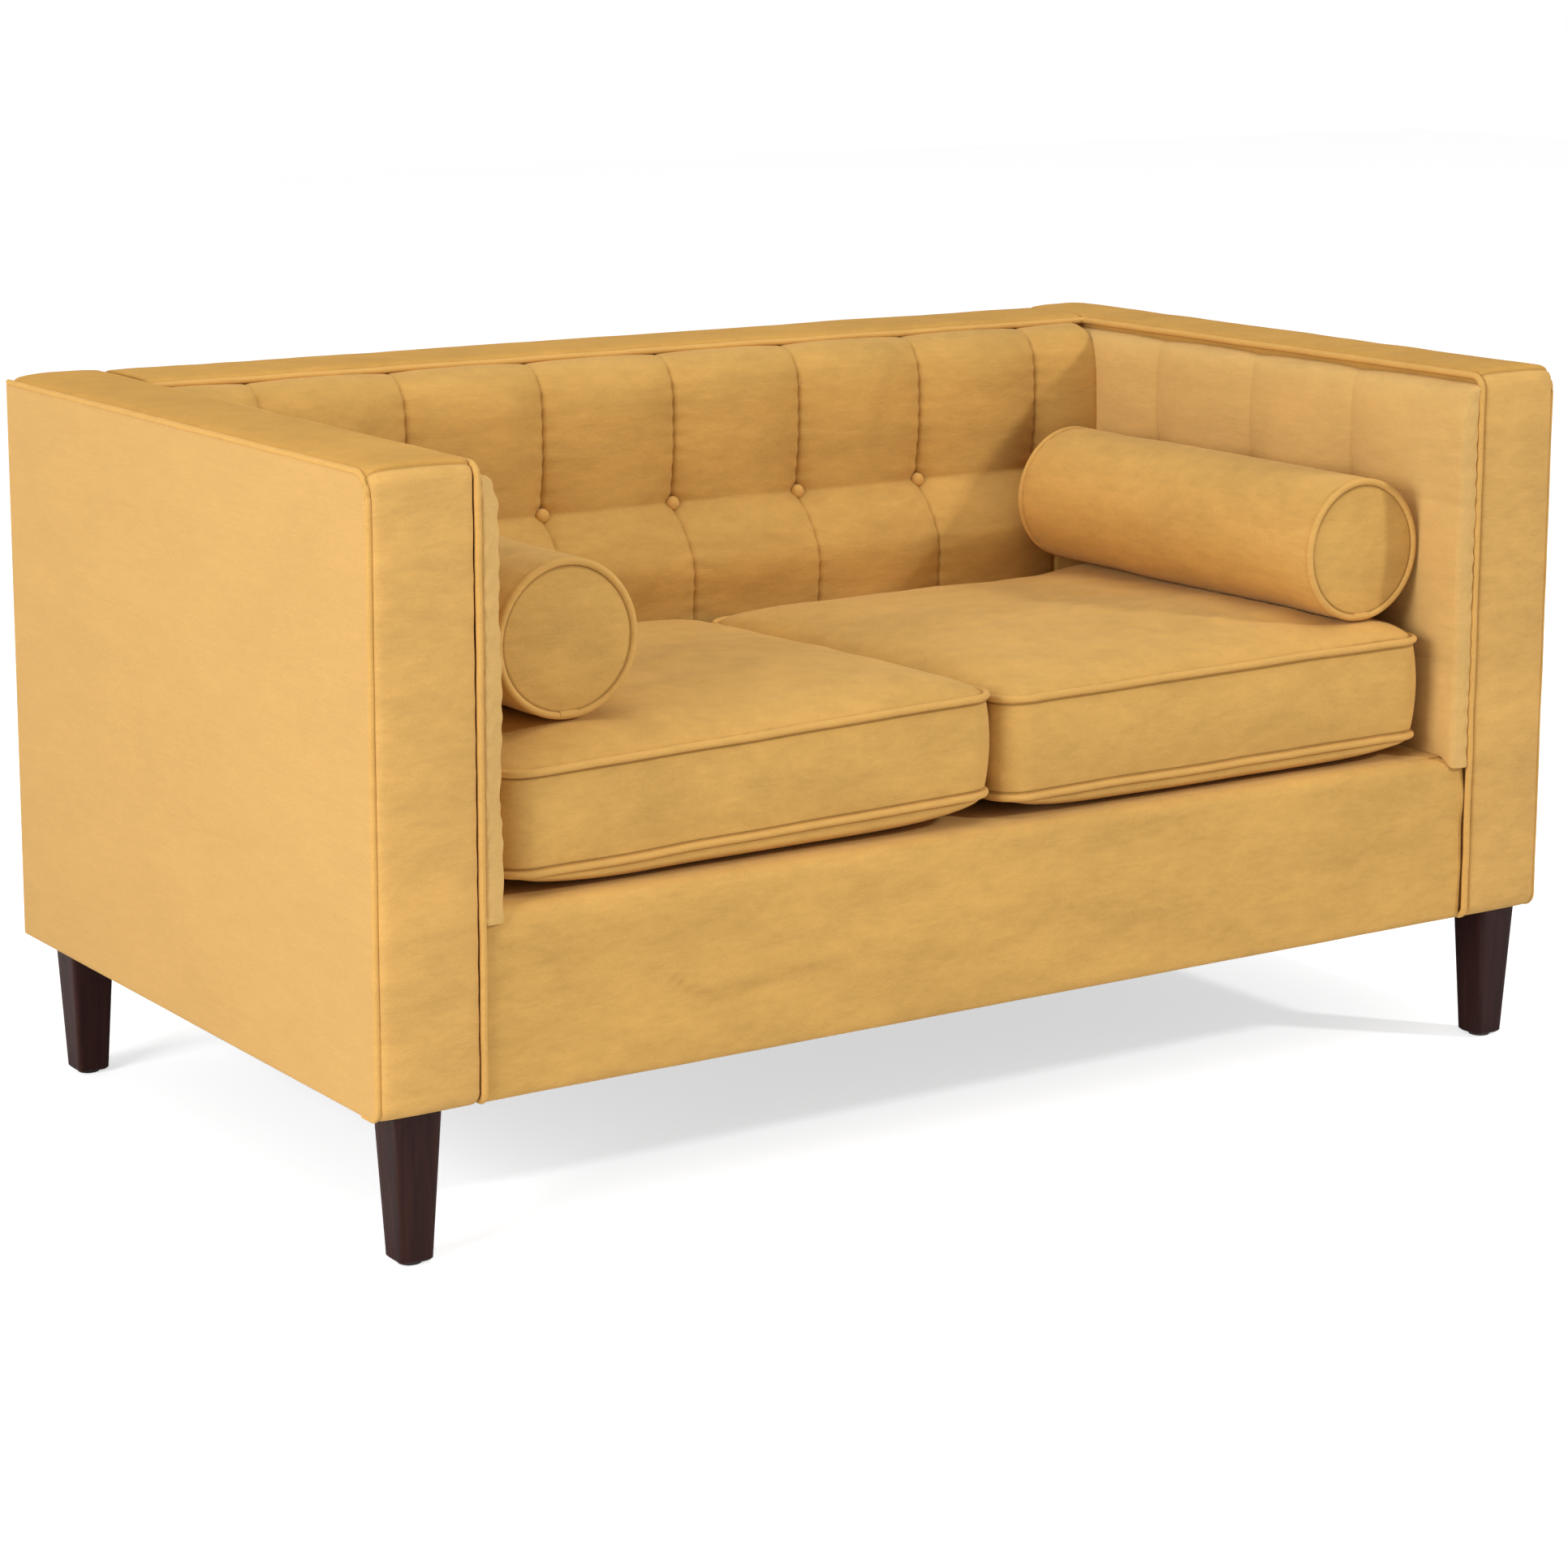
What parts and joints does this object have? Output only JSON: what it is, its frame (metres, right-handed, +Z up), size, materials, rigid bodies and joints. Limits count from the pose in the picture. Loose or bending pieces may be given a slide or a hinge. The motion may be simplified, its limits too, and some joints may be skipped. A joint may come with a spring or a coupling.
{
  "type": "two-seat box sofa",
  "caption": "Two-seat box sofa in mustard velvet with arms as high as the back, tufted inner faces, loose boxed seat cushions, bolsters and dark tapered wooden legs.",
  "frame": {"origin": "on the floor under the middle of the body's width and depth", "axes": "+X along the width to the right in a front view, +Y from the front to the back, +Z up"},
  "size_m": [1.54, 0.865, 0.8],
  "materials": {
    "velvet": "mustard cotton velvet, soft sheen",
    "velvet_cord": "welt cord covered in the same velvet",
    "velvet_button": "button covered in the same velvet",
    "dark_wood": "espresso stain, satin lacquer",
    "frame_timber": "sawn softwood",
    "plywood": "plywood",
    "webbing": "black elastic webbing",
    "spring_steel": "spring steel wire",
    "zinc_steel": "zinc plated",
    "glide_plastic": "moulded nylon",
    "deck_cloth": "dark lining cloth over a felt pad",
    "dust_cloth": "spun black dust cloth",
    "twine": "waxed twine",
    "foam": "polyurethane foam"
  },
  "bodies": {
    "sofa_body": {"front_rail": "frame_timber", "back_rail": "frame_timber", "side_rail_left": "frame_timber", "side_rail_right": "frame_timber", "seat_stretcher": "frame_timber", "corner_blocks": "frame_timber", "leg_blocks": "frame_timber", "arm_posts": "frame_timber", "arm_boards": "plywood", "arm_top_boards": "frame_timber", "back_ribs": "plywood", "back_top_board": "frame_timber", "back_webbing": "webbing", "seat_springs": "spring_steel", "spring_clips": "spring_steel", "seat_deck": "deck_cloth", "front_rail_cover": "velvet", "dust_cover": "dust_cloth", "leg_front_left": "dark_wood", "leg_front_right": "dark_wood", "leg_back_left": "dark_wood", "leg_back_right": "dark_wood", "leg_plates": "zinc_steel", "hanger_bolts": "zinc_steel", "plate_screws": "zinc_steel", "glides": "glide_plastic", "arm_outer_cover_left": "velvet", "arm_outer_cover_right": "velvet", "back_outer_cover": "velvet", "arm_front_band_left": "velvet", "arm_front_band_right": "velvet", "arm_cap_left": "velvet", "arm_cap_right": "velvet", "back_cap": "velvet", "arm_pad_left": "velvet", "arm_pad_right": "velvet", "back_pad": "velvet", "back_buttons": "velvet_button", "arm_buttons": "velvet_button", "button_twines": "twine", "inner_welt": "velvet_cord", "outer_welt": "velvet_cord"},
    "seat_cushion_left": {"seat_cushion_cover_left": "velvet", "seat_cushion_core_left": "foam", "seat_cushion_piping_left": "velvet_cord"},
    "seat_cushion_right": {"seat_cushion_cover_right": "velvet", "seat_cushion_core_right": "foam", "seat_cushion_piping_right": "velvet_cord"},
    "bolster_left": {"bolster_cover_left": "velvet", "bolster_core_left": "foam", "bolster_piping_left": "velvet_cord"},
    "bolster_right": {"bolster_cover_right": "velvet", "bolster_core_right": "foam", "bolster_piping_right": "velvet_cord"}
  },
  "joints": [
    {"name": "lift_seat_cushion_left", "type": "slide", "parent": "sofa_body", "child": "seat_cushion_left", "axis": [0, 0, 1], "range_m": [0, 0.5]},
    {"name": "lift_seat_cushion_right", "type": "slide", "parent": "sofa_body", "child": "seat_cushion_right", "axis": [0, 0, 1], "range_m": [0, 0.5]},
    {"name": "lift_bolster_left", "type": "slide", "parent": "seat_cushion_left", "child": "bolster_left", "axis": [0, 0, 1], "range_m": [0, 0.4]},
    {"name": "lift_bolster_right", "type": "slide", "parent": "seat_cushion_right", "child": "bolster_right", "axis": [0, 0, 1], "range_m": [0, 0.4]}
  ]
}
